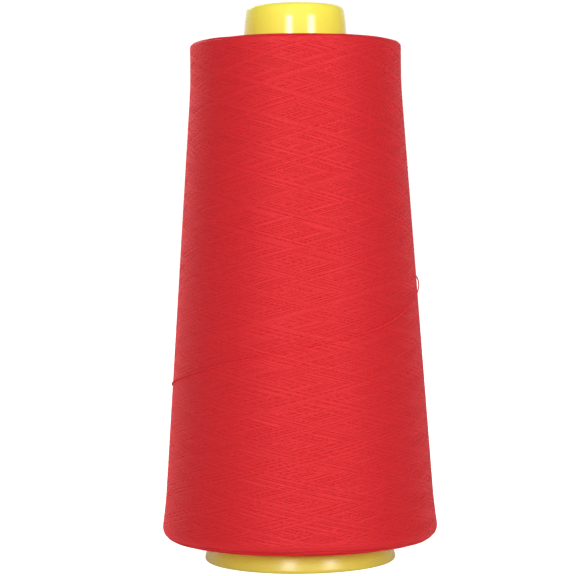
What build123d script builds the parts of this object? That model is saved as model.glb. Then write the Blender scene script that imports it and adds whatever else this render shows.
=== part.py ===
from build123d import *
import math
import os

# Cone of sewing thread for an overlock machine: one long thread, cross-wound on a hollow moulded cone.
# Millimetres, +Z up along the cone's axis, origin at the middle of the foot that it stands on.
# -Y is the front, where the slack last wrap of thread crosses the winding.

# The moulded cone
HEIGHT = 114.0
NOSE_RADIUS = 10.2
HALF_ANGLE = 4 + 20 / 60
WALL = 1.3

# Its nose: the wall leans in a little more near the top, then a rounded edge and a flat lip
# turned in to the hole
NOSE_BEND = 111.3
BEND_ROUNDING = 8.0
NOSE_TOP_RADIUS = 9.98
NOSE_ROUNDING = 1.1
NOSE_LIP = 1.6
LIP_ROUNDING = 1.2

# The hole in the nose that the machine's spool pin comes through, and its collar inside
BORE_RADIUS = 6.0
COLLAR_WALL = 1.1
COLLAR_LENGTH = 5.0
MOUTH_ROUNDING = 0.5

# The rim that the cone stands on: a band leaning in, then a step back to the wall
RIM_RADIUS = 19.85
RIM_ROUNDING = 0.6
RIM_TOP_RADIUS = 19.05
RIM_TOP = 3.3
RIM_CREST = 0.4
STEP_TOP = 4.0
STEP_ROUNDING = 1.2

# Ribs inside, which guide the pin up to the collar
RIB_COUNT = 6
RIB_THICKNESS = 0.9
RIB_FOOT_HEIGHT = 46.0
RIB_TIP_RADIUS = 7.4

# The wound thread: a taper between two swollen shoulders
WINDING_BOTTOM = 4.55
WINDING_TOP = 106.55
WINDING_BOTTOM_RADIUS = 28.28
WINDING_TOP_RADIUS = 21.15
BOTTOM_SHOULDER = 2.6
TOP_SHOULDER = 0.9
BOTTOM_SWELL = 0.5
TOP_SWELL = 0.6
BOTTOM_SWELL_LENGTH = 7.6
TOP_SWELL_LENGTH = 8.5
SWELL_ROUNDING = 90.0

# The last wrap, which lies slack on the others
THREAD_DIAMETER = 0.3
ARC_SHARE = 0.45

# Route of the slack wrap: degrees round from +X, height, and how far it lies off the winding.
# Both ends sink under their neighbours at the back, and it stands out most at the right side.
SLACK_WRAP = [
    (98, 66.9, -0.35),
    (74, 64.6, 0.10),
    (48, 62.6, 0.20),
    (22, 60.2, 0.25),
    (-3, 57.3, 0.32),
    (-26, 52.7, 0.26),
    (-50, 48.4, 0.22),
    (-76, 46.2, 0.22),
    (-102, 43.9, 0.22),
    (-128, 41.4, 0.22),
    (-154, 38.7, 0.15),
    (-180, 36.3, 0.14),
    (-206, 34.2, 0.14),
    (-230, 32.3, 0.05),
    (-252, 30.6, -0.35),
]


def core_radius(height):
    """Outside radius of the cone's plain wall."""
    return NOSE_RADIUS + (HEIGHT - height) * math.tan(math.radians(HALF_ANGLE))


def winding_radius(height):
    """Outside radius of the wound thread between its shoulders."""
    share = (height - WINDING_BOTTOM) / (WINDING_TOP - WINDING_BOTTOM)
    return WINDING_BOTTOM_RADIUS + share * (WINDING_TOP_RADIUS - WINDING_BOTTOM_RADIUS)


def turned(corners):
    """Solid of revolution about Z from (radius, height, rounding) corners."""
    points = [(radius, 0, height) for radius, height, rounding in corners]
    roundings = [rounding for radius, height, rounding in corners]
    outline = FilletPolyline(*points, radius=roundings, close=True)
    return revolve(make_face(outline), Axis.Z)


def cone_shell():
    """The wall, its rim, the closed-in nose and the collar round the pin hole."""
    lip_bottom = HEIGHT - NOSE_LIP
    collar_radius = BORE_RADIUS + COLLAR_WALL
    return turned([
        (core_radius(0) - WALL, 0, MOUTH_ROUNDING),
        (RIM_RADIUS, 0, RIM_ROUNDING),
        (RIM_TOP_RADIUS, RIM_TOP, RIM_CREST),
        (core_radius(STEP_TOP), STEP_TOP, STEP_ROUNDING),
        (core_radius(NOSE_BEND), NOSE_BEND, BEND_ROUNDING),
        (NOSE_TOP_RADIUS, HEIGHT, NOSE_ROUNDING),
        (BORE_RADIUS, HEIGHT, MOUTH_ROUNDING),
        (BORE_RADIUS, HEIGHT - COLLAR_LENGTH, 0),
        (collar_radius, HEIGHT - COLLAR_LENGTH, 0),
        (collar_radius, lip_bottom, 0),
        (core_radius(lip_bottom) - WALL, lip_bottom, LIP_ROUNDING),
    ])


def guide_rib(turn):
    """One fin that grows out of the wall and reaches its full depth at the collar."""
    bite = WALL / 2
    tip_height = HEIGHT - COLLAR_LENGTH
    corners = [
        (core_radius(RIB_FOOT_HEIGHT) - bite, RIB_FOOT_HEIGHT),
        (core_radius(RIB_FOOT_HEIGHT) - WALL, RIB_FOOT_HEIGHT),
        (RIB_TIP_RADIUS, tip_height),
        (core_radius(tip_height) - bite, tip_height),
    ]
    side = make_face(Polyline(*[(radius, 0, height) for radius, height in corners], close=True))
    fin = extrude(side, amount=RIB_THICKNESS / 2, dir=(0, 1, 0), both=True)
    return Rot(0, 0, turn) * fin


def cone_core():
    core = cone_shell()
    for number in range(RIB_COUNT):
        core += guide_rib(number * 360 / RIB_COUNT)
    return core


def thread_winding():
    """All the wound thread as one ring, tight on the cone."""
    lower_bend = WINDING_BOTTOM + BOTTOM_SWELL_LENGTH
    upper_bend = WINDING_TOP - TOP_SWELL_LENGTH
    return turned([
        (core_radius(WINDING_BOTTOM), WINDING_BOTTOM, 0),
        (WINDING_BOTTOM_RADIUS + BOTTOM_SWELL, WINDING_BOTTOM, BOTTOM_SHOULDER),
        (winding_radius(lower_bend), lower_bend, SWELL_ROUNDING),
        (winding_radius(upper_bend), upper_bend, SWELL_ROUNDING),
        (WINDING_TOP_RADIUS + TOP_SWELL, WINDING_TOP, TOP_SHOULDER),
        (core_radius(WINDING_TOP), WINDING_TOP, 0),
    ])


def wrap_point(turn, height, lift):
    """A corner of the slack wrap's route, set out so that its arc passes at the lift asked for."""
    half_step = math.radians(12.5)
    radius = (winding_radius(height) + lift) / math.cos(half_step)
    angle = math.radians(turn)
    return Vector(radius * math.cos(angle), radius * math.sin(angle), height)


def arc_radii(points):
    """The largest radius at each corner of a route that leaves room for its neighbours."""
    radii = []
    for before, corner, after in zip(points, points[1:], points[2:]):
        half_turn = math.radians((corner - before).get_angle(after - corner)) / 2
        shorter_run = min((corner - before).length, (after - corner).length)
        radii.append(ARC_SHARE * shorter_run / math.tan(half_turn))
    return radii


def loose_wrap():
    points = [wrap_point(*place) for place in SLACK_WRAP]
    radii = arc_radii(points)
    route = FilletPolyline(*points, radius=radii)
    thread = sweep(Plane(route @ 0, z_dir=route % 0) * Circle(THREAD_DIAMETER / 2), path=route)
    section = math.pi * THREAD_DIAMETER**2 / 4
    print("loose wrap: arc radii", [round(radius, 1) for radius in radii])
    print("loose wrap: length", round(route.length, 1), "volume", round(thread.volume, 3))
    print("loose wrap: section times length", round(section * route.length, 3))
    return thread


os.makedirs("parts", exist_ok=True)
for build in (cone_core, thread_winding, loose_wrap):
    export_step(build(), "parts/" + build.__name__ + ".step")
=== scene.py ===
import bpy
import math
from mathutils import Matrix, Vector


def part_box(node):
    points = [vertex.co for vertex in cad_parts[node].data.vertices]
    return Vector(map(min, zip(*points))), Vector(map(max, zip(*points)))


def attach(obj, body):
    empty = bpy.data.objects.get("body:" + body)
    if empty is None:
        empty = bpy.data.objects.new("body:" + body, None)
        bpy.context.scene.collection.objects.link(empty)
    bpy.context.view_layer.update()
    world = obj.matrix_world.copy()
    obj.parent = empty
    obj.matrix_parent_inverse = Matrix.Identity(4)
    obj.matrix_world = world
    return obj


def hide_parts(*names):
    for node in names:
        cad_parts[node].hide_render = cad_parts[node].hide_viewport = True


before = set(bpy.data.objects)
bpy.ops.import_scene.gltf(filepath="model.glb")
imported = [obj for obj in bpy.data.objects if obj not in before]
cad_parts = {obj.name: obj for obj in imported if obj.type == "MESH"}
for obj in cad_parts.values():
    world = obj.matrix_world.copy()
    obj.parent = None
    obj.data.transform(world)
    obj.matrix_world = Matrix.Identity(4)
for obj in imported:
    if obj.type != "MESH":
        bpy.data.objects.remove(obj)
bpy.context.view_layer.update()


# ---- Camera ----------------------------------------------------------------------------------
# A long lens a little above half the cone's height, looking very slightly down on it. The cone
# stands just right of the middle, and its top leans a touch to the left.
LENS = 122.1
CAMERA_DISTANCE = 0.4041
CAMERA_HEIGHT = 0.0656
LOOK_DOWN = math.radians(1.34)
LOOK_LEFT = math.radians(0.285)
CAMERA_ROLL = math.radians(-0.56)

camera_data = bpy.data.cameras.new("camera")
camera_data.lens = LENS
camera_data.sensor_width = 36.0
camera_data.clip_start = 0.02
camera_data.clip_end = 50.0
camera = bpy.data.objects.new("camera", camera_data)
camera.location = (0.0, -CAMERA_DISTANCE, CAMERA_HEIGHT)
facing = Matrix.Rotation(LOOK_LEFT, 4, "Z") @ Matrix.Rotation(math.pi / 2 - LOOK_DOWN, 4, "X")
camera.rotation_euler = (facing @ Matrix.Rotation(CAMERA_ROLL, 4, "Z")).to_euler()
bpy.context.scene.collection.objects.link(camera)
bpy.context.scene.camera = camera


# ---- The slack last wrap of thread -----------------------------------------------------------
# Two plies of spun polyester, twisted together. The last turn has slipped off its tension, so it
# lies loose on the others, and both of its ends sink back into the winding at the rear.
class Wire:
    """What one output of a node carries. Arithmetic on numbers adds Math nodes."""

    def __init__(self, tree, socket):
        self.tree = tree
        self.socket = socket

    def __getitem__(self, name):
        outputs = self.socket.node.outputs
        return Wire(self.tree, next(o for o in outputs if o.enabled and o.name == name))

    def math(self, operation, *others):
        node = self.tree.nodes.new("ShaderNodeMath")
        node.operation = operation
        for place, value in zip(node.inputs, others):
            if isinstance(value, Wire):
                self.tree.links.new(value.socket, place)
            else:
                place.default_value = value
        return Wire(self.tree, node.outputs[0])

    def __add__(self, other):
        return self.math("ADD", self, other)

    def __sub__(self, other):
        return self.math("SUBTRACT", self, other)

    def __mul__(self, other):
        return self.math("MULTIPLY", self, other)

    def __truediv__(self, other):
        return self.math("DIVIDE", self, other)

    def __rsub__(self, other):
        return self.math("SUBTRACT", other, self)

    def __neg__(self):
        return self * -1.0

    def __abs__(self):
        return self.math("ABSOLUTE", self)

    __radd__ = __add__

    def floor(self):
        return self.math("FLOOR", self)

    def fraction(self):
        return self.math("FRACT", self)

    def least(self, other):
        return self.math("MINIMUM", self, other)

    def most(self, other):
        return self.math("MAXIMUM", self, other)

    def above(self, other):
        return self.math("GREATER_THAN", self, other)

    def sine(self):
        return self.math("SINE", self)

    def cosine(self):
        return self.math("COSINE", self)


class Bench:
    """A node tree under construction, for a material or for geometry."""

    def __init__(self, tree):
        self.tree = tree

    def node(self, kind, settings=(), sockets=()):
        node = self.tree.nodes.new(kind)
        for name, value in dict(settings).items():
            setattr(node, name, value)
        for key, value in dict(sockets).items():
            places = [s for s in node.inputs if s.enabled and s.name == key]
            place = node.inputs[key] if isinstance(key, int) else places[0]
            if isinstance(value, Wire):
                self.tree.links.new(value.socket, place)
            else:
                place.default_value = value
        shown = [o for o in node.outputs if o.enabled]
        return Wire(self.tree, shown[0]) if shown else node


def geometry_bench(name, inputs):
    """A geometry tree with named inputs: the bench, and a wire from each input."""
    tree = bpy.data.node_groups.new(name, "GeometryNodeTree")
    tree.interface.new_socket("Geometry", in_out="OUTPUT", socket_type="NodeSocketGeometry")
    for label, kind in inputs.items():
        tree.interface.new_socket(label, in_out="INPUT", socket_type="NodeSocket" + kind)
    entry = tree.nodes.new("NodeGroupInput")
    return Bench(tree), {label: Wire(tree, entry.outputs[label]) for label in inputs}


def finish_tree(bench, geometry, material, smooth=True):
    """Ends a geometry tree in real, painted mesh."""
    shaded = bench.node("GeometryNodeSetShadeSmooth", {}, {"Geometry": geometry, "Shade Smooth": smooth})
    real = bench.node("GeometryNodeRealizeInstances", {}, {"Geometry": shaded})
    painted = bench.node("GeometryNodeSetMaterial", {}, {"Geometry": real, "Material": material})
    bench.node("NodeGroupOutput", {}, {"Geometry": painted})


def made_piece(name, start, tree, sizes):
    """Runs a geometry tree on a starting object and keeps the result as a plain mesh object."""
    modifier = start.modifiers.new("make", "NODES")
    modifier.node_group = tree
    for item in tree.interface.items_tree:
        if item.in_out == "INPUT" and item.name in sizes:
            modifier[item.identifier] = sizes[item.name]
    bpy.context.view_layer.update()
    evaluated = start.evaluated_get(bpy.context.evaluated_depsgraph_get())
    mesh = bpy.data.meshes.new_from_object(evaluated)
    mesh.name = name
    start.modifiers.remove(modifier)
    piece = bpy.data.objects.new(name, mesh)
    bpy.context.scene.collection.objects.link(piece)
    return piece


THREAD_RED = (0.68, 0.015, 0.022, 1.0)
THREAD_DEEP = (0.64, 0.011, 0.016, 1.0)
# Painted highlight: the pale colour mixed onto the crests of the plies, where light catches them.
THREAD_PAINTED_HIGHLIGHT = (0.76, 0.06, 0.075, 1.0)
# Painted light: the slack wrap's reds are brighter than the rest of the thread, for the light it catches
# lying off the winding.
LOOSE_LIT_RED = (0.86, 0.030, 0.038, 1.0)
LOOSE_LIT_DEEP = (0.80, 0.020, 0.026, 1.0)
TWIST_PITCH = 0.0009
CLOUD_SCALE = 45.0
GRAIN_SCALE = 6000.0
TINT_BY_STROKE = 0.25
TINT_BY_CLOUD = 0.35
TINT_BY_GRAIN = 0.55
PAINTED_CREST_HIGHLIGHT = 0.15
GRAIN_RELIEF = 0.6
RELIEF_DEPTH = 0.00004
THREAD_ROUGHNESS = 0.46
GRAIN_ROUGHNESS = 0.14


def thread_finish(name, red, deep):
    """Dyed spun polyester: a soft coloured lustre, fibre sheen, the groove between plies, uneven dye, and
    a painted highlight of paler colour on the crests of the plies.
    """
    material = bpy.data.materials.new(name)
    material.use_nodes = True
    material.node_tree.nodes.clear()
    bench = Bench(material.node_tree)
    place = bench.node("ShaderNodeTexCoord")["Object"]
    along = bench.node("ShaderNodeAttribute", {"attribute_name": "along"})["Fac"]
    tint = bench.node("ShaderNodeAttribute", {"attribute_name": "tint"})["Fac"]
    around = bench.node("ShaderNodeAttribute", {"attribute_name": "around"})["Vector"]
    spun = bench.node("ShaderNodeSeparateXYZ", {}, {"Vector": around})
    turn = along * (2.0 * math.pi / TWIST_PITCH)
    plies = abs(spun["X"] * turn.cosine() + spun["Y"] * turn.sine())
    cloudy = bench.node("ShaderNodeTexNoise", {}, {"Vector": place, "Scale": CLOUD_SCALE, "Detail": 2.0})
    fibrous = bench.node("ShaderNodeTexNoise", {}, {"Vector": place, "Scale": GRAIN_SCALE, "Detail": 2.0})
    shade = tint * TINT_BY_STROKE + cloudy["Fac"] * TINT_BY_CLOUD + fibrous["Fac"] * TINT_BY_GRAIN
    body = bench.node("ShaderNodeMix", {"data_type": "RGBA"}, {"Factor": shade, "A": deep, "B": red})
    # Painted highlight: the colour turns paler on the crests of the plies, standing in for the light they
    # catch.
    colour = bench.node("ShaderNodeMix", {"data_type": "RGBA"},
                        {"Factor": fibrous["Fac"] * plies * PAINTED_CREST_HIGHLIGHT,
                         "A": body["Result"], "B": THREAD_PAINTED_HIGHLIGHT})
    relief = bench.node("ShaderNodeBump", {},
                        {"Strength": 0.25, "Distance": RELIEF_DEPTH,
                         "Height": plies + fibrous["Fac"] * GRAIN_RELIEF})
    surface = bench.node("ShaderNodeBsdfPrincipled", {}, {
        "Base Color": colour["Result"],
        "Metallic": 0.3,
        "Roughness": THREAD_ROUGHNESS + fibrous["Fac"] * GRAIN_ROUGHNESS,
        "Specular IOR Level": 0.40,
        "Sheen Weight": 0.75,
        "Sheen Roughness": 0.5,
        "Sheen Tint": (1.0, 0.03, 0.04, 1.0),
        "Normal": relief,
    })
    bench.node("ShaderNodeOutputMaterial", {}, {"Surface": surface})
    return material


def spun_tube(bench, line, width, thickness, sides):
    """A thread pressed a little flat, along a line, with what its twist needs stored on it."""
    length = bench.node("GeometryNodeSplineParameter")["Length"]
    marked = bench.node("GeometryNodeStoreNamedAttribute", {"data_type": "FLOAT", "domain": "POINT"},
                        {"Geometry": line, "Name": "along", "Value": length})
    ring = bench.node("GeometryNodeCurvePrimitiveCircle", {}, {"Resolution": sides, "Radius": 0.5})
    spot = bench.node("GeometryNodeInputPosition")
    outward = bench.node("ShaderNodeVectorMath", {"operation": "NORMALIZE"}, {0: spot})
    ring = bench.node("GeometryNodeStoreNamedAttribute",
                      {"data_type": "FLOAT_VECTOR", "domain": "POINT"},
                      {"Geometry": ring, "Name": "around", "Value": outward})
    press = bench.node("ShaderNodeCombineXYZ", {}, {"X": thickness, "Y": width, "Z": 1.0})
    ring = bench.node("GeometryNodeTransform", {}, {"Geometry": ring, "Scale": press})
    return bench.node("GeometryNodeCurveToMesh", {},
                      {"Curve": marked, "Profile Curve": ring, "Fill Caps": True})


thread_red = thread_finish("thread_red", THREAD_RED, THREAD_DEEP)
# The slack wrap's own copy of the thread, painted brighter for the light it catches.
thread_loose_lit = thread_finish("thread_loose_lit", LOOSE_LIT_RED, LOOSE_LIT_DEEP)

# Degrees round from +X, height in mm, and how far the thread lies off the winding in mm.
SLACK_WRAP = [
    (98, 66.9, -0.35),
    (74, 64.6, 0.10),
    (48, 62.6, 0.20),
    (22, 60.2, 0.25),
    (-3, 57.3, 0.32),
    (-26, 52.7, 0.26),
    (-50, 48.4, 0.22),
    (-76, 46.2, 0.22),
    (-102, 43.9, 0.22),
    (-128, 41.4, 0.22),
    (-154, 38.7, 0.15),
    (-180, 36.3, 0.14),
    (-206, 34.2, 0.14),
    (-230, 32.3, 0.05),
    (-252, 30.6, -0.35),
]
WINDING_BOTTOM = 0.00455
WINDING_TOP = 0.10655
WINDING_BOTTOM_RADIUS = 0.02828
WINDING_TOP_RADIUS = 0.02115
SLACK_DIAMETER = 0.0003
SLACK_HALF_STEP = math.radians(12.5)
SLACK_TINT = 0.9
ROUTE_STEPS = 24
STEPS_PER_TWIST = 8
PLY_SIDES = 8
PLY_SIZE = 0.54
PLY_SHIFT = 0.46


def winding_radius(height):
    """Outside radius of the wound thread between its shoulders."""
    share = (height - WINDING_BOTTOM) / (WINDING_TOP - WINDING_BOTTOM)
    return WINDING_BOTTOM_RADIUS + share * (WINDING_TOP_RADIUS - WINDING_BOTTOM_RADIUS)


def slack_point(degrees, height_mm, lift_mm):
    """A control point of the slack wrap, set out because the curve passes inside it."""
    height = height_mm / 1000
    radius = (winding_radius(height) + lift_mm / 1000) / math.cos(SLACK_HALF_STEP)
    angle = math.radians(degrees)
    return (radius * math.cos(angle), radius * math.sin(angle), height)


def slack_route():
    data = bpy.data.curves.new("slack_route", "CURVE")
    data.dimensions = "3D"
    spline = data.splines.new("NURBS")
    spline.points.add(len(SLACK_WRAP) - 1)
    for point, place in zip(spline.points, SLACK_WRAP):
        point.co = (*slack_point(*place), 1.0)
    spline.order_u = 3
    spline.use_endpoint_u = True
    spline.resolution_u = ROUTE_STEPS
    route = bpy.data.objects.new("slack_route", data)
    bpy.context.scene.collection.objects.link(route)
    return route


def plied_thread_tree():
    """Two plies twisted round a line."""
    bench, given = geometry_bench("plied thread", {
        "Route": "Geometry", "Thread Radius": "Float", "Twist Pitch": "Float",
        "Step": "Float", "Material": "Material"})
    line = bench.node("GeometryNodeMeshToCurve", {}, {"Mesh": given["Route"]})
    line = bench.node("GeometryNodeResampleCurve", {"mode": "LENGTH"},
                      {"Curve": line, "Length": given["Step"]})
    length = bench.node("GeometryNodeSplineParameter")["Length"]
    line = bench.node("GeometryNodeSetCurveTilt", {},
                      {"Curve": line, "Tilt": length * (2.0 * math.pi) / given["Twist Pitch"]})
    line = bench.node("GeometryNodeStoreNamedAttribute", {"data_type": "FLOAT", "domain": "POINT"},
                      {"Geometry": line, "Name": "along", "Value": length})
    line = bench.node("GeometryNodeStoreNamedAttribute", {"data_type": "FLOAT", "domain": "POINT"},
                      {"Geometry": line, "Name": "tint", "Value": SLACK_TINT})
    ply = bench.node("GeometryNodeCurvePrimitiveCircle", {},
                     {"Resolution": PLY_SIDES, "Radius": given["Thread Radius"] * PLY_SIZE})
    shifts = [bench.node("ShaderNodeCombineXYZ", {}, {"X": given["Thread Radius"] * side})
              for side in (-PLY_SHIFT, PLY_SHIFT)]
    pair = bench.node("GeometryNodeJoinGeometry")
    join = pair.socket.node
    for shift in shifts:
        moved = bench.node("GeometryNodeTransform", {}, {"Geometry": ply, "Translation": shift})
        bench.tree.links.new(moved.socket, join.inputs[0])
    tube = bench.node("GeometryNodeCurveToMesh", {},
                      {"Curve": line, "Profile Curve": pair, "Fill Caps": True})
    finish_tree(bench, tube, given["Material"])
    return bench.tree


route = slack_route()
bpy.context.view_layer.update()
route_mesh = bpy.data.meshes.new_from_object(
    route.evaluated_get(bpy.context.evaluated_depsgraph_get()))
bpy.data.objects.remove(route)
route_line = bpy.data.objects.new("route_line", route_mesh)
bpy.context.scene.collection.objects.link(route_line)
slack_wrap = made_piece("slack_wrap", route_line, plied_thread_tree(), {
    "Thread Radius": SLACK_DIAMETER / 2,
    "Twist Pitch": TWIST_PITCH,
    "Step": TWIST_PITCH / STEPS_PER_TWIST,
    "Material": thread_loose_lit,
})
bpy.data.objects.remove(route_line)
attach(slack_wrap, "root")
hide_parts("loose_wrap")


# ---- The moulded cone ------------------------------------------------------------------------
# One hollow moulding in yellow polypropylene, tapered 4 deg 20 min a side. Its nose closes in
# round the pin hole, with a collar inside, and it stands on a rim whose band leans in.
CONE_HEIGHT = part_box("cone_core")[1].z
NOSE_RADIUS = 0.0102
CONE_SLOPE = math.tan(math.radians(4 + 20 / 60))
CONE_WALL = 0.0013
NOSE_BEND = 0.1113
BEND_ROUNDING = 0.008
NOSE_TOP_RADIUS = 0.00998
NOSE_ROUNDING = 0.0011
NOSE_LIP = 0.0016
LIP_ROUNDING = 0.0012
BORE_RADIUS = 0.006
COLLAR_WALL = 0.0011
COLLAR_LENGTH = 0.005
MOUTH_ROUNDING = 0.0005
RIM_RADIUS = 0.01985
RIM_ROUNDING = 0.0006
RIM_TOP_RADIUS = 0.01905
RIM_TOP = 0.0033
RIM_CREST = 0.0004
STEP_TOP = 0.004
STEP_ROUNDING = 0.0012
CONE_SIDES = 192
ARC_STEPS = 10


def cone_radius(height):
    """Outside radius of the cone's plain wall."""
    return NOSE_RADIUS + (CONE_HEIGHT - height) * CONE_SLOPE


def rounded(corners, closed):
    """The (radius, height) points of an outline whose corners carry their own roundings."""
    points = []
    count = len(corners)
    for number, (radius, height, rounding) in enumerate(corners):
        here = Vector((radius, height))
        if rounding == 0 or not closed and number in (0, count - 1):
            points.append(here)
            continue
        back = (Vector(corners[number - 1][:2]) - here).normalized()
        ahead = (Vector(corners[(number + 1) % count][:2]) - here).normalized()
        half = back.angle(ahead) / 2
        centre = here + (back + ahead).normalized() * (rounding / math.sin(half))
        start = here + back * (rounding / math.tan(half)) - centre
        sweep = start.angle_signed(here + ahead * (rounding / math.tan(half)) - centre)
        for step in range(ARC_STEPS + 1):
            spoke = start.copy()
            spoke.rotate(Matrix.Rotation(-sweep * step / ARC_STEPS, 2))
            points.append(centre + spoke)
    return points


def lathe(name, outline, sides, closed, material):
    """A smooth body of revolution about Z from an outline."""
    vertices = []
    for side in range(sides):
        angle = 2 * math.pi * side / sides
        vertices += [(p.x * math.cos(angle), p.x * math.sin(angle), p.y) for p in outline]
    count = len(outline)
    faces = []
    for side in range(sides):
        near, far = side * count, (side + 1) % sides * count
        for step in range(count if closed else count - 1):
            after = (step + 1) % count
            faces.append((near + step, far + step, far + after, near + after))
    mesh = bpy.data.meshes.new(name)
    mesh.from_pydata(vertices, [], faces)
    mesh.shade_smooth()
    mesh.materials.append(material)
    piece = bpy.data.objects.new(name, mesh)
    bpy.context.scene.collection.objects.link(piece)
    return piece


PLASTIC_YELLOW = (0.96, 0.865, 0.11, 1.0)
PLASTIC_GOLD = (0.95, 0.815, 0.08, 1.0)
# Painted shade: the darker colour mixed onto the foot, in the shade under the winding and by the floor.
PLASTIC_PAINTED_SHADE = (0.64, 0.54, 0.07, 1.0)
WORN_AND_SHADED_BELOW = 0.006
FLOW_SCALE = 90.0
PEEL_SCALE = 900.0
PLASTIC_ROUGHNESS = 0.14
PEEL_ROUGHNESS = 0.06
SCUFF_ROUGHNESS = 0.14


def plastic_finish():
    """Glossy polypropylene, a little translucent, with a faint moulding ripple, a rougher worn foot, and
    painted shade darkening the foot's colour.
    """
    material = bpy.data.materials.new("cone_yellow")
    material.use_nodes = True
    material.node_tree.nodes.clear()
    bench = Bench(material.node_tree)
    place = bench.node("ShaderNodeTexCoord")["Object"]
    flow = bench.node("ShaderNodeTexNoise", {}, {"Vector": place, "Scale": FLOW_SCALE, "Detail": 3.0})
    peel = bench.node("ShaderNodeTexNoise", {}, {"Vector": place, "Scale": PEEL_SCALE, "Detail": 2.0})
    clean = bench.node("ShaderNodeMix", {"data_type": "RGBA"},
                       {"Factor": flow["Fac"], "A": PLASTIC_GOLD, "B": PLASTIC_YELLOW})
    height = bench.node("ShaderNodeSeparateXYZ", {}, {"Vector": place})["Z"]
    # Towards the floor the foot gets rougher from wear, and its colour darkens as painted shade.
    worn_and_shaded = bench.node("ShaderNodeMapRange", {"interpolation_type": "SMOOTHSTEP"},
                         {"Value": height, "From Min": WORN_AND_SHADED_BELOW, "From Max": 0.0})
    colour = bench.node("ShaderNodeMix", {"data_type": "RGBA"},
                        {"Factor": worn_and_shaded * worn_and_shaded, "A": clean["Result"], "B": PLASTIC_PAINTED_SHADE})
    relief = bench.node("ShaderNodeBump", {},
                        {"Strength": 0.10, "Distance": 0.00003, "Height": peel["Fac"] + flow["Fac"]})
    surface = bench.node("ShaderNodeBsdfPrincipled", {}, {
        "Base Color": colour["Result"],
        "Roughness": PLASTIC_ROUGHNESS + peel["Fac"] * PEEL_ROUGHNESS + worn_and_shaded * SCUFF_ROUGHNESS,
        "Subsurface Weight": 0.15,
        "Subsurface Radius": (1.0, 0.8, 0.15),
        "Subsurface Scale": 0.003,
        "IOR": 1.5,
        "Normal": relief,
    })
    bench.node("ShaderNodeOutputMaterial", {}, {"Surface": surface})
    return material


cone_yellow = plastic_finish()
lip_bottom = CONE_HEIGHT - NOSE_LIP
collar_bottom = CONE_HEIGHT - COLLAR_LENGTH
cone_outline = rounded([
    (cone_radius(0) - CONE_WALL, 0, MOUTH_ROUNDING),
    (RIM_RADIUS, 0, RIM_ROUNDING),
    (RIM_TOP_RADIUS, RIM_TOP, RIM_CREST),
    (cone_radius(STEP_TOP), STEP_TOP, STEP_ROUNDING),
    (cone_radius(NOSE_BEND), NOSE_BEND, BEND_ROUNDING),
    (NOSE_TOP_RADIUS, CONE_HEIGHT, NOSE_ROUNDING),
    (BORE_RADIUS, CONE_HEIGHT, MOUTH_ROUNDING),
    (BORE_RADIUS, collar_bottom, 0),
    (BORE_RADIUS + COLLAR_WALL, collar_bottom, 0),
    (BORE_RADIUS + COLLAR_WALL, lip_bottom, 0),
    (cone_radius(lip_bottom) - CONE_WALL, lip_bottom, LIP_ROUNDING),
], closed=True)
thread_cone = lathe("thread_cone", cone_outline, CONE_SIDES, True, cone_yellow)
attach(thread_cone, "root")
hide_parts("cone_core")


# ---- The guide ribs --------------------------------------------------------------------------
# Six fins moulded with the cone, inside it. They start less than halfway up and deepen towards
# the collar, so that they lead the machine's pin into the hole in the nose.
RIB_COUNT = 6
RIB_THICKNESS = 0.0009
RIB_FOOT_HEIGHT = 0.046
RIB_TIP_RADIUS = 0.0074
RIB_EDGE = 0.0002


def one_rib():
    """The fin at +X: its root is in the wall, and its free edge is chamfered."""
    sections = []
    for height, tip in ((RIB_FOOT_HEIGHT, cone_radius(RIB_FOOT_HEIGHT) - CONE_WALL),
                        (collar_bottom, RIB_TIP_RADIUS)):
        root = cone_radius(height) - CONE_WALL / 2
        flank, edge = RIB_THICKNESS / 2, RIB_THICKNESS / 2 - RIB_EDGE
        sections += [(root, flank, height), (root, -flank, height),
                     (tip + RIB_EDGE, -flank, height), (tip, -edge, height),
                     (tip, edge, height), (tip + RIB_EDGE, flank, height)]
    sides = [(n, n + 6, (n + 1) % 6 + 6, (n + 1) % 6) for n in range(6)]
    mesh = bpy.data.meshes.new("rib")
    mesh.from_pydata(sections, [], sides + [(0, 1, 2, 3, 4, 5), (11, 10, 9, 8, 7, 6)])
    rib = bpy.data.objects.new("rib", mesh)
    bpy.context.scene.collection.objects.link(rib)
    return rib


def ring_of_ribs_tree():
    bench, given = geometry_bench("ring of ribs", {
        "Rib": "Geometry", "Count": "Int", "Material": "Material"})
    places = bench.node("GeometryNodePoints", {}, {"Count": given["Count"]})
    number = bench.node("GeometryNodeInputIndex")
    turn = bench.node("ShaderNodeCombineXYZ", {}, {"Z": number * (2.0 * math.pi) / given["Count"]})
    ribs = bench.node("GeometryNodeInstanceOnPoints", {},
                      {"Points": places, "Instance": given["Rib"], "Rotation": turn})
    finish_tree(bench, ribs, given["Material"], smooth=False)
    return bench.tree


rib = one_rib()
guide_ribs = made_piece("guide_ribs", rib, ring_of_ribs_tree(), {
    "Count": RIB_COUNT,
    "Material": cone_yellow,
})
bpy.data.objects.remove(rib)
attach(guide_ribs, "root")
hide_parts("cone_core")


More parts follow.
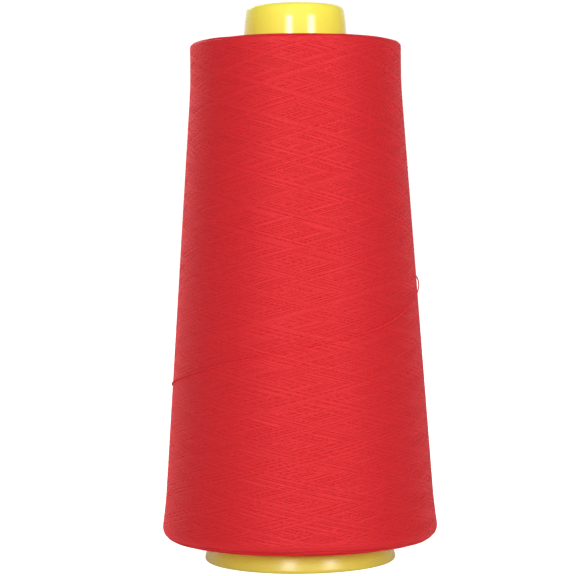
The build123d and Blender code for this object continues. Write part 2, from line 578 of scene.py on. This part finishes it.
# ---- The inner layers of thread --------------------------------------------------------------
# Everything under the outer wraps, seen only at the bottom of the finest gaps between them: one
# ring, tight on the cone, with a swollen shoulder at each end where the thread turned round.
BOTTOM_SHOULDER = 0.0026
TOP_SHOULDER = 0.0009
BOTTOM_SWELL = 0.0005
TOP_SWELL = 0.0006
BOTTOM_SWELL_LENGTH = 0.0076
TOP_SWELL_LENGTH = 0.0085
SWELL_ROUNDING = 0.09
THREAD_WIDTH = 0.00036
THREAD_THICKNESS = 0.00010
GROUND_DEPTH = 0.00010
CONE_BITE = 0.0001
LAYER_STRETCH = 14.0
LAYER_SCALE = 260.0
LAYER_ROUGHNESS = 0.7
RIDGE_ROUGHNESS = 0.2


def winding_outline(depth):
    """The outline of the wound thread, that much below its outer surface."""
    low, high = WINDING_BOTTOM + depth, WINDING_TOP - depth
    lower_bend = low + BOTTOM_SWELL_LENGTH
    upper_bend = high - TOP_SWELL_LENGTH
    return rounded([
        (cone_radius(low), low, 0),
        (WINDING_BOTTOM_RADIUS + BOTTOM_SWELL - depth, low, BOTTOM_SHOULDER - depth / 2),
        (winding_radius(lower_bend) - depth, lower_bend, SWELL_ROUNDING),
        (winding_radius(upper_bend) - depth, upper_bend, SWELL_ROUNDING),
        (WINDING_TOP_RADIUS + TOP_SWELL - depth, high, TOP_SHOULDER - depth / 2),
        (cone_radius(high), high, 0),
    ], closed=False)


def ground_finish():
    """Deep red layers of packed thread, with the fine ridges of the wraps below."""
    material = bpy.data.materials.new("thread_ground")
    material.use_nodes = True
    material.node_tree.nodes.clear()
    bench = Bench(material.node_tree)
    place = bench.node("ShaderNodeTexCoord")["Object"]
    stretched = bench.node("ShaderNodeMapping", {}, {"Vector": place, "Scale": (1.0, 1.0, LAYER_STRETCH)})
    lines = bench.node("ShaderNodeTexNoise", {},
                       {"Vector": stretched, "Scale": LAYER_SCALE, "Detail": 2.0})
    colour = bench.node("ShaderNodeMix", {"data_type": "RGBA"},
                        {"Factor": lines["Fac"], "A": THREAD_DEEP, "B": THREAD_RED})
    relief = bench.node("ShaderNodeBump", {},
                        {"Strength": 0.5, "Distance": 0.0001, "Height": lines["Fac"]})
    surface = bench.node("ShaderNodeBsdfPrincipled", {}, {
        "Base Color": colour["Result"],
        "Roughness": LAYER_ROUGHNESS + lines["Fac"] * RIDGE_ROUGHNESS,
        "Specular IOR Level": 0.2,
        "Normal": relief,
    })
    bench.node("ShaderNodeOutputMaterial", {}, {"Surface": surface})
    return material


ground_outline = winding_outline(GROUND_DEPTH)
wall_ends = (ground_outline[-1], ground_outline[0])
inner_wall = [Vector((cone_radius(end.y) - CONE_BITE, end.y)) for end in wall_ends]
winding_ground = lathe("inner_layers", ground_outline + inner_wall, CONE_SIDES, True, ground_finish())
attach(winding_ground, "root")
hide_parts("thread_winding")


# ---- The outer wraps -------------------------------------------------------------------------
# One thread, laid up and down the cone in strokes of a little over two and a half turns, so that
# it crosses itself all the way round. Each stroke starts a fixed step on from the last, until the
# pattern closes, and where two strokes cross, the later one lies on top.
DOUBLE_STROKES = 160
SLOT_STEP = 23
WHOLE_TURNS = 5
TURNS_PER_STROKE = (WHOLE_TURNS + SLOT_STEP / DOUBLE_STROKES) / 2
STEPS_PER_STROKE = 230
BATCHES = 5
THREAD_SIDES = 6

# Neighbours on the cone are this many double strokes apart in age: 7 steps of 23 places come to
# one more than the 160 places round it.
AGE_STEP = 7

# Reaches are shares of the outline's length, from the cone's wall at the foot round the shoulders
# to its wall at the nose.
LOWEST_REACH = 0.084
HIGHEST_REACH = 0.906
TURN_ROUND = 0.05
CROSSING_RISE = 0.4
CROSSING_BLEND = 0.08
DRIFT = 0.5
END_SCATTER = 0.004
WANDER = 0.003
WANDER_RATE = 9.0
WANDER_ONSET = 12.0
UNEVENNESS = 0.000015
STROKE_NUDGE = 0.0001
WINDING_SEED = 4


def outline_object(points):
    """The outline as a bare line, for a geometry tree to lay thread on."""
    mesh = bpy.data.meshes.new("outline")
    places = [(p.x, 0.0, p.y) for p in points]
    mesh.from_pydata(places, [(n, n + 1) for n in range(len(places) - 1)], [])
    line = bpy.data.objects.new("outline", mesh)
    bpy.context.scene.collection.objects.link(line)
    return line


def laid_line(bench, line, outline, reach, turns, depth):
    """Lays a line on a winding, at a share of its outline, after some turns, at a depth below it."""
    curve = bench.node("GeometryNodeMeshToCurve", {}, {"Mesh": outline})
    spot = bench.node("GeometryNodeSampleCurve", {"mode": "FACTOR"}, {"Curves": curve, "Factor": reach})
    tangent = bench.node("ShaderNodeSeparateXYZ", {}, {"Vector": spot["Tangent"]})
    inward = bench.node("ShaderNodeCombineXYZ", {}, {"X": -tangent["Z"], "Z": tangent["X"]})
    sunk = bench.node("ShaderNodeVectorMath", {"operation": "MULTIPLY_ADD"},
                      {0: inward, 1: bench.node("ShaderNodeCombineXYZ", {}, {"X": depth, "Z": depth}),
                       2: spot["Position"]})
    place, facing = [
        bench.node("ShaderNodeVectorRotate", {"rotation_type": "Z_AXIS"},
                   {"Vector": vector, "Angle": turns * (2.0 * math.pi)}) for vector in (sunk, inward)]
    line = bench.node("GeometryNodeSetCurveNormal", {"mode": "FREE"}, {"Curve": line, "Normal": facing})
    return bench.node("GeometryNodeSetPosition", {}, {"Geometry": line, "Position": place})


def wound_thread_tree():
    bench, given = geometry_bench("wound thread", {
        "Outline": "Geometry", "First Stroke": "Float", "Strokes": "Int", "Steps": "Int",
        "Turns per Stroke": "Float", "Double Strokes": "Float", "Age Step": "Float",
        "Turn Round": "Float", "Lowest Reach": "Float", "Highest Reach": "Float",
        "Thread Width": "Float", "Thread Thickness": "Float", "Crossing Rise": "Float",
        "Drift": "Float", "End Scatter": "Float", "Wander": "Float", "Unevenness": "Float",
        "Seed": "Int", "Material": "Material"})
    line = bench.node("GeometryNodeCurvePrimitiveLine")
    line = bench.node("GeometryNodeResampleCurve", {"mode": "COUNT"},
                      {"Curve": line, "Count": given["Steps"]})
    time = given["First Stroke"] + bench.node("GeometryNodeSplineParameter")["Factor"] * given["Strokes"]
    pair = (time / 2.0).floor()
    phase = time - pair * 2.0
    falling = phase.above(1.0)
    climb = 1.0 - abs(1.0 - phase)
    ease = given["Turn Round"]
    # The thread climbs evenly in the middle of its stroke and slows down where it turns round.
    low, high = climb.least(ease), (1.0 - climb).least(ease)
    middle = climb.most(ease).least(1.0 - ease)
    share = (low * low / (ease * 2.0) + middle - ease / 2.0 - high * high / (ease * 2.0)) / (1.0 - ease)
    stroke = (time + STROKE_NUDGE).floor()
    progress = time - stroke

    def scattered(kind):
        """A random amount for each stroke's start, running evenly on to the next one's."""
        ends = [bench.node("FunctionNodeRandomValue", {"data_type": "FLOAT"},
                           {"Min": -1.0, "Max": 1.0, "ID": number, "Seed": given["Seed"] + kind})
                for number in (stroke, stroke + 1.0)]
        return ends[0] * (1.0 - progress) + ends[1] * progress

    turns = time * given["Turns per Stroke"] + scattered(0) * given["Drift"] / given["Double Strokes"]
    wave = bench.node("ShaderNodeTexNoise", {"noise_dimensions": "1D"},
                      {"W": time * WANDER_RATE, "Scale": 1.0, "Detail": 2.0})
    window = (climb * (1.0 - climb) * WANDER_ONSET).least(1.0)
    reach = share + (wave["Fac"] - 0.5) * given["Wander"] * window + scattered(1) * given["End Scatter"]
    reach = given["Lowest Reach"] + reach * (given["Highest Reach"] - given["Lowest Reach"])
    # Of this double stroke and the one that it crosses here, the newer lies on top.
    side = 1.0 - falling * 2.0
    shift = side * (climb - 1.0) * given["Turns per Stroke"] * given["Age Step"] * 2.0
    other = (pair / given["Double Strokes"] + shift).fraction()
    newer = pair / given["Double Strokes"] - other
    over = bench.node("ShaderNodeMapRange", {"interpolation_type": "SMOOTHSTEP"},
                      {"Value": newer, "From Min": -CROSSING_BLEND, "From Max": CROSSING_BLEND})
    depth = given["Thread Thickness"] / 2.0 + given["Crossing Rise"] * (1.0 - over)
    depth = depth + (scattered(2) + 1.0) * given["Unevenness"] / 2.0
    line = laid_line(bench, line, given["Outline"], reach, turns, depth)
    tint = bench.node("FunctionNodeRandomValue", {"data_type": "FLOAT"},
                      {"ID": stroke, "Seed": given["Seed"] + 3})
    line = bench.node("GeometryNodeStoreNamedAttribute", {"data_type": "FLOAT", "domain": "POINT"},
                      {"Geometry": line, "Name": "tint", "Value": tint})
    tube = spun_tube(bench, line, given["Thread Width"], given["Thread Thickness"], THREAD_SIDES)
    finish_tree(bench, tube, given["Material"])
    return bench.tree


outline_line = outline_object(winding_outline(0.0))
wound_thread = wound_thread_tree()
strokes_per_batch = 2 * DOUBLE_STROKES // BATCHES
for batch in range(BATCHES):
    wraps = made_piece("outer_wraps_" + str(batch + 1), outline_line, wound_thread, {
        "First Stroke": float(batch * strokes_per_batch),
        "Strokes": strokes_per_batch,
        "Steps": strokes_per_batch * STEPS_PER_STROKE + 1,
        "Turns per Stroke": TURNS_PER_STROKE,
        "Double Strokes": float(DOUBLE_STROKES),
        "Age Step": float(AGE_STEP),
        "Turn Round": TURN_ROUND,
        "Lowest Reach": LOWEST_REACH,
        "Highest Reach": HIGHEST_REACH,
        "Thread Width": THREAD_WIDTH,
        "Thread Thickness": THREAD_THICKNESS,
        "Crossing Rise": THREAD_THICKNESS * CROSSING_RISE,
        "Drift": DRIFT,
        "End Scatter": END_SCATTER,
        "Wander": WANDER,
        "Unevenness": UNEVENNESS,
        "Seed": WINDING_SEED,
        "Material": thread_red,
    })
    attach(wraps, "root")
    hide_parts("thread_winding")


# ---- The turns at the two ends ---------------------------------------------------------------
# Where the thread turned back at each end of its stroke, layer after layer, its bends lie side by
# side as wavering rings on the end faces, from the cone's wall out to the shoulder.
TURN_UNEVENNESS = 3.0
WAVES_ONSET = 40.0
WAVER = 0.00004
SEED_STEP = 100.0


def end_turns_tree():
    bench, given = geometry_bench("end turns", {
        "Outline": "Geometry", "Turns": "Float", "Steps": "Int", "From Reach": "Float",
        "To Reach": "Float", "Waves per Turn": "Float", "Wave Reach": "Float", "Depth": "Float",
        "Waver": "Float", "Thread Width": "Float", "Thread Thickness": "Float", "Seed": "Float",
        "Material": "Material"})
    line = bench.node("GeometryNodeCurvePrimitiveLine")
    line = bench.node("GeometryNodeResampleCurve", {"mode": "COUNT"},
                      {"Curve": line, "Count": given["Steps"]})
    share = bench.node("GeometryNodeSplineParameter")["Factor"]
    turns = share * given["Turns"]
    swing = (turns * given["Waves per Turn"] * (2.0 * math.pi)).sine()
    uneven = bench.node("ShaderNodeTexNoise", {"noise_dimensions": "1D"},
                        {"W": turns * TURN_UNEVENNESS + given["Seed"], "Scale": 1.0, "Detail": 2.0})["Fac"]
    inside = (share * (1.0 - share) * WAVES_ONSET).least(1.0)
    reach = given["From Reach"] + share * (given["To Reach"] - given["From Reach"])
    reach = reach + (swing * 0.5 + uneven - 0.5) * given["Wave Reach"] * inside
    depth = given["Thread Thickness"] / 2.0 + given["Depth"] + (1.0 - swing) * given["Waver"]
    line = laid_line(bench, line, given["Outline"], reach, turns, depth)
    line = bench.node("GeometryNodeStoreNamedAttribute", {"data_type": "FLOAT", "domain": "POINT"},
                      {"Geometry": line, "Name": "tint", "Value": uneven})
    tube = spun_tube(bench, line, given["Thread Width"], given["Thread Thickness"], THREAD_SIDES)
    finish_tree(bench, tube, given["Material"])
    return bench.tree


# Name, turns, steps a turn, from and to reach, waves a turn, wave reach, depth.
END_TURNS = [
    ("foot_turns_under", 27, 210, 0.003, 0.084, 11.37, 0.0024, 0.00012),
    ("foot_turns_over", 16, 210, 0.006, 0.092, 7.61, 0.0060, 0.0),
    ("nose_turns_under", 38, 150, 0.997, 0.914, 9.37, 0.0024, 0.00012),
    ("nose_turns_over", 21, 150, 0.994, 0.910, 6.61, 0.0060, 0.0),
]
end_turns = end_turns_tree()
for number, (name, turns, steps, start, stop, waves, wave_reach, depth) in enumerate(END_TURNS):
    coil = made_piece(name, outline_line, end_turns, {
        "Turns": float(turns),
        "Steps": turns * steps + 1,
        "From Reach": start,
        "To Reach": stop,
        "Waves per Turn": waves,
        "Wave Reach": wave_reach,
        "Depth": depth,
        "Waver": WAVER,
        "Thread Width": THREAD_WIDTH,
        "Thread Thickness": THREAD_THICKNESS,
        "Seed": number * SEED_STEP,
        "Material": thread_red,
    })
    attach(coil, "root")
    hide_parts("thread_winding")


# ---- The fuzz --------------------------------------------------------------------------------
# Spun thread is made of short fibres, and their loose ends stand off it as a thin fuzz, painted paler than
# the thread for the light the fibres catch.
FIBRE_LENGTH = 0.00035
FIBRE_RADIUS = 0.000006
FIBRES_PER_SQUARE_METRE = 5.0e5
# Painted light: the fibres' reds are paler than the thread's, for the light they catch.
FIBRE_LIT_RED = (0.80, 0.04, 0.05, 1.0)
FIBRE_LIT_DEEP = (0.76, 0.02, 0.03, 1.0)
FIBRE_TINT = 0.5
FIBRE_STEPS = 3
FIBRE_SIDES = 3
SHORTEST_FIBRE = 0.4
LONGEST_FIBRE = 1.2
FIBRE_LEAN = 0.5
FIBRE_SPIN = 6.283
FUZZ_SEED = 11

# Root, bend and tip of each kind of fibre, in fibre lengths: the root is down in the thread.
FIBRE_SHAPES = [
    ((0.0, 0.0, -0.3), (0.1, 0.0, 0.5), (0.8, 0.1, 0.6)),
    ((0.0, 0.0, -0.3), (0.5, 0.2, 0.7), (1.1, -0.1, -0.2)),
    ((0.0, 0.0, -0.3), (-0.1, 0.3, 0.7), (0.3, 0.5, 1.0)),
]


def fuzz_tree():
    bench, given = geometry_bench("fuzz", {
        "Surface": "Geometry", "Density": "Float", "Length": "Float", "Radius": "Float",
        "Seed": "Int", "Material": "Material"})
    scatter = bench.node("GeometryNodeDistributePointsOnFaces", {"distribute_method": "RANDOM"}, {
        "Mesh": given["Surface"], "Density": given["Density"], "Seed": given["Seed"]})
    ring = bench.node("GeometryNodeCurvePrimitiveCircle", {},
                      {"Resolution": FIBRE_SIDES, "Radius": given["Radius"]})
    shapes = bench.node("GeometryNodeGeometryToInstance")
    for start, middle, end in FIBRE_SHAPES:
        fibre = bench.node("GeometryNodeCurveQuadraticBezier", {},
                           {"Resolution": FIBRE_STEPS, "Start": start, "Middle": middle, "End": end})
        scale = bench.node("ShaderNodeCombineXYZ", {}, {name: given["Length"] for name in "XYZ"})
        fibre = bench.node("GeometryNodeTransform", {}, {"Geometry": fibre, "Scale": scale})
        fibre = bench.node("GeometryNodeStoreNamedAttribute", {"data_type": "FLOAT", "domain": "POINT"},
                           {"Geometry": fibre, "Name": "tint", "Value": FIBRE_TINT})
        fibre = bench.node("GeometryNodeCurveToMesh", {},
                           {"Curve": fibre, "Profile Curve": ring, "Fill Caps": True})
        bench.tree.links.new(fibre.socket, shapes.socket.node.inputs[0])
    size = bench.node("FunctionNodeRandomValue", {"data_type": "FLOAT"},
                      {"Min": SHORTEST_FIBRE, "Max": LONGEST_FIBRE, "Seed": given["Seed"] + 1})
    lean = bench.node("FunctionNodeRandomValue", {"data_type": "FLOAT_VECTOR"},
                      {"Min": (-FIBRE_LEAN, -FIBRE_LEAN, 0.0), "Max": (FIBRE_LEAN, FIBRE_LEAN, FIBRE_SPIN),
                       "Seed": given["Seed"] + 2})
    turned = bench.node("FunctionNodeRotateRotation", {"rotation_space": "LOCAL"},
                        {"Rotation": scatter["Rotation"], "Rotate By": lean})
    fibres = bench.node("GeometryNodeInstanceOnPoints", {}, {
        "Points": scatter["Points"], "Instance": shapes, "Pick Instance": True,
        "Rotation": turned, "Scale": size})
    finish_tree(bench, fibres, given["Material"])
    return bench.tree


skin = lathe("skin", winding_outline(THREAD_THICKNESS / 2), CONE_SIDES, False, thread_red)
fuzz = made_piece("fuzz", skin, fuzz_tree(), {
    "Density": FIBRES_PER_SQUARE_METRE,
    "Length": FIBRE_LENGTH,
    "Radius": FIBRE_RADIUS,
    "Seed": FUZZ_SEED,
    "Material": thread_finish("fibre_red_lit", FIBRE_LIT_RED, FIBRE_LIT_DEEP),
})
bpy.data.objects.remove(skin)
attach(fuzz, "root")
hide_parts("thread_winding")


# ---- The studio ------------------------------------------------------------------------------
# White below and all round, but dim at the sides for what the cone reflects. Two soft boxes draw
# the lines on the nose, and a weak, wide one stands high up at the back.
ROOM_DIM = 0.22
ROOM_FRONT = 0.85
ROOM_BACK = 0.95
BACKDROP = 1.1
FLOOR_GREY = 0.6
FLOOR_GLOW = 0.22
FLOOR_WHITE = 0.78
FLOOR_SIDES = 64
FLOOR_RADIUS = 4.0
BOX_AIM = Vector((0.0, 0.0, 0.06))


def soft_box(name, azimuth, height, width, tall, distance, brightness):
    data = bpy.data.lights.new(name, "AREA")
    data.shape = "RECTANGLE"
    data.size, data.size_y = width, tall
    data.energy = brightness * math.pi * width * tall
    light = bpy.data.objects.new(name, data)
    angle = math.radians(azimuth)
    light.location = (distance * math.sin(angle), -distance * math.cos(angle), height)
    aim = BOX_AIM - light.location
    light.rotation_euler = aim.to_track_quat("-Z", "Y").to_euler()
    bpy.context.scene.collection.objects.link(light)


soft_box("left_box", azimuth=-13.4, height=0.285, width=0.185, tall=0.226, distance=0.9, brightness=23.0)
soft_box("right_box", azimuth=36.8, height=0.285, width=0.212, tall=0.226, distance=0.9, brightness=20.0)
soft_box("back_box", azimuth=205.0, height=0.6, width=0.5, tall=0.4, distance=0.9, brightness=2.6)

floor_mesh = bpy.data.meshes.new("floor")
floor_mesh.from_pydata(
    [(FLOOR_RADIUS * math.cos(2 * math.pi * n / FLOOR_SIDES),
      FLOOR_RADIUS * math.sin(2 * math.pi * n / FLOOR_SIDES), 0.0) for n in range(FLOOR_SIDES)],
    [], [tuple(range(FLOOR_SIDES))])
floor = bpy.data.objects.new("floor", floor_mesh)
bpy.context.scene.collection.objects.link(floor)
white = bpy.data.materials.new("floor_white")
white.use_nodes = True
white.node_tree.nodes.clear()
floor_bench = Bench(white.node_tree)
floor_seen = floor_bench.node("ShaderNodeLightPath")["Is Camera Ray"]
paper = floor_bench.node("ShaderNodeBsdfPrincipled", {}, {
    "Base Color": (FLOOR_GREY, FLOOR_GREY, FLOOR_GREY, 1.0),
    "Roughness": 0.9,
    "Specular IOR Level": 0.0,
})
bounce = floor_bench.node("ShaderNodeEmission", {}, {
    "Color": (1.0, 1.0, 1.0, 1.0),
    "Strength": FLOOR_GLOW + floor_seen * FLOOR_WHITE,
})
floor_surface = floor_bench.node("ShaderNodeAddShader", {}, {0: paper, 1: bounce})
floor_bench.node("ShaderNodeOutputMaterial", {}, {"Surface": floor_surface})
floor_mesh.materials.append(white)

world = bpy.data.worlds.new("studio")
bpy.context.scene.world = world
world.use_nodes = True
world.node_tree.nodes.clear()
sky = Bench(world.node_tree)
seen = sky.node("ShaderNodeLightPath")["Is Camera Ray"]
toward = sky.node("ShaderNodeSeparateXYZ", {}, {"Vector": sky.node("ShaderNodeTexCoord")["Generated"]})
ahead, behind = [sky.node("ShaderNodeMapRange", {"interpolation_type": "SMOOTHSTEP"},
                          {"Value": toward["Y"] + toward["X"] * aside, "From Min": near, "From Max": far})
                 for aside, near, far in ((0.10, -0.5, -1.0), (-0.15, 0.3, 0.95))]
ambient = ROOM_DIM + ahead * ROOM_FRONT + behind * ROOM_BACK
strength = ambient * (1.0 - seen) + seen * BACKDROP
glow = sky.node("ShaderNodeBackground", {}, {"Color": (1.0, 1.0, 1.0, 1.0), "Strength": strength})
sky.node("ShaderNodeOutputWorld", {}, {"Surface": glow})
bpy.context.scene.view_settings.view_transform = "Standard"

bpy.data.objects.remove(outline_line)
bpy.context.view_layer.update()
